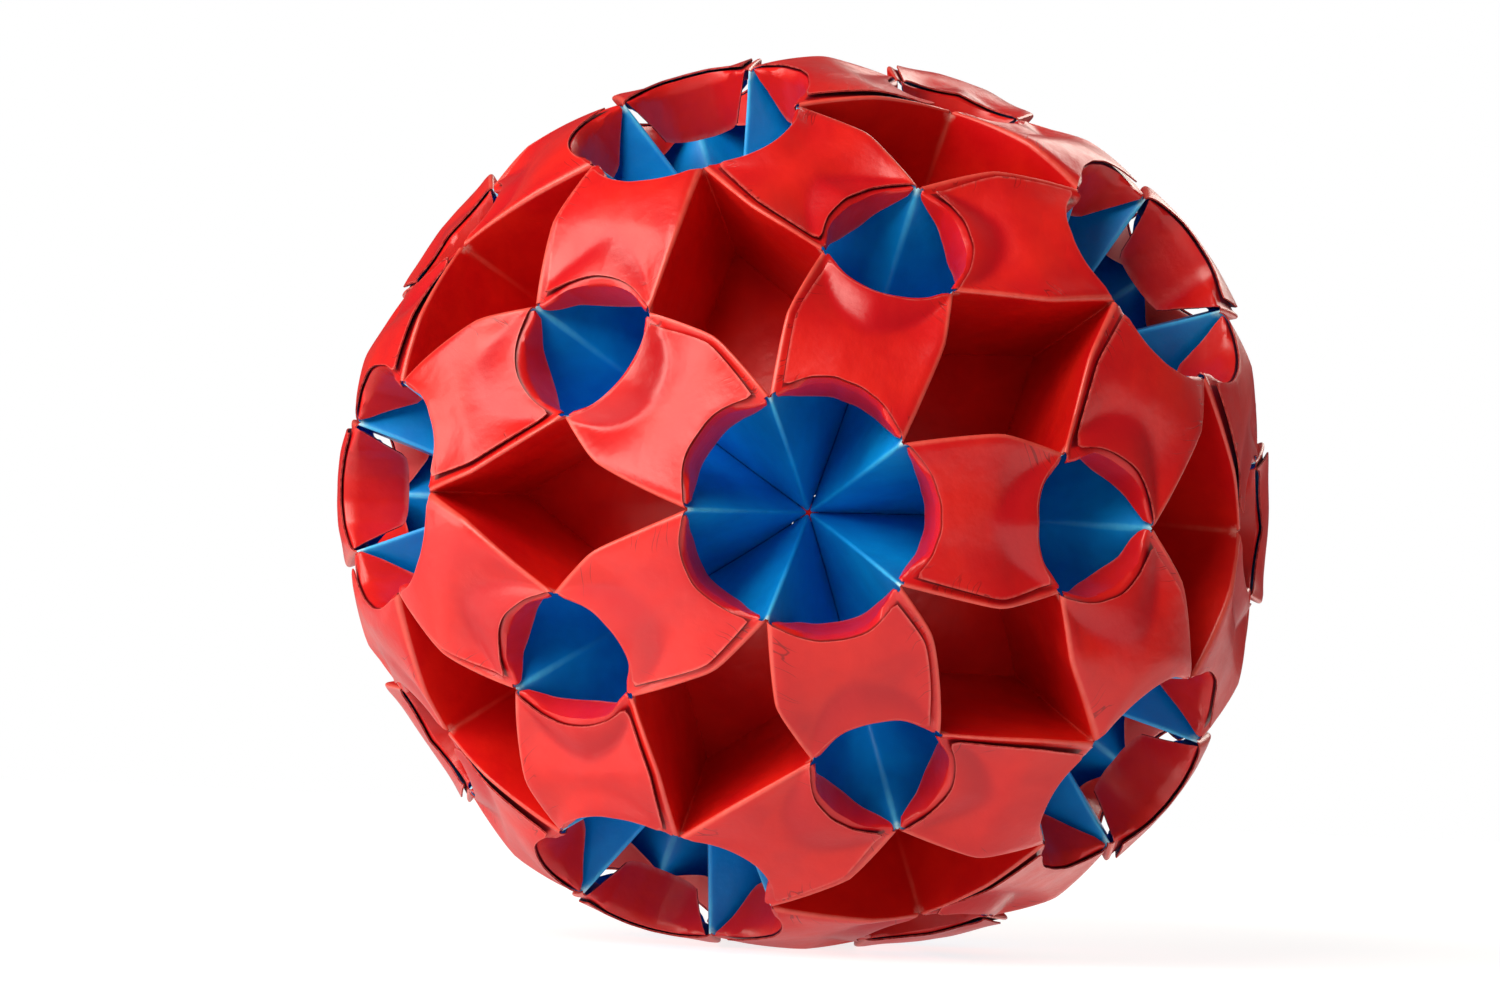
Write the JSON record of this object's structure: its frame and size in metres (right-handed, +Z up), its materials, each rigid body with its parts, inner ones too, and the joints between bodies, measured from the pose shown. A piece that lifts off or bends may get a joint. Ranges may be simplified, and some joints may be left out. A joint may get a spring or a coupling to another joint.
{
  "type": "kusudama paper ball",
  "caption": "Ball of folded two-coloured paper units: deep four-sided cups held together by lapped flaps round five-sided and three-sided openings.",
  "frame": {"origin": "on the table, under the middle of the ball", "axes": "+Z up out of the top cup, a five-sided opening faces -Y"},
  "size_m": [0.1168, 0.1134, 0.1125],
  "materials": {
    "two_coloured_paper": "matte, red on one side and blue on the other"
  },
  "bodies": {
    "root": {"unit_01": "two_coloured_paper", "unit_02": "two_coloured_paper", "unit_03": "two_coloured_paper", "unit_04": "two_coloured_paper", "unit_05": "two_coloured_paper", "unit_06": "two_coloured_paper", "unit_07": "two_coloured_paper", "unit_08": "two_coloured_paper", "unit_09": "two_coloured_paper", "unit_10": "two_coloured_paper", "unit_11": "two_coloured_paper", "unit_12": "two_coloured_paper", "unit_13": "two_coloured_paper", "unit_14": "two_coloured_paper", "unit_15": "two_coloured_paper", "unit_16": "two_coloured_paper", "unit_17": "two_coloured_paper", "unit_18": "two_coloured_paper", "unit_19": "two_coloured_paper", "unit_20": "two_coloured_paper", "unit_21": "two_coloured_paper", "unit_22": "two_coloured_paper", "unit_23": "two_coloured_paper", "unit_24": "two_coloured_paper", "unit_25": "two_coloured_paper", "unit_26": "two_coloured_paper", "unit_27": "two_coloured_paper", "unit_28": "two_coloured_paper", "unit_29": "two_coloured_paper", "unit_30": "two_coloured_paper"}
  },
  "joints": []
}
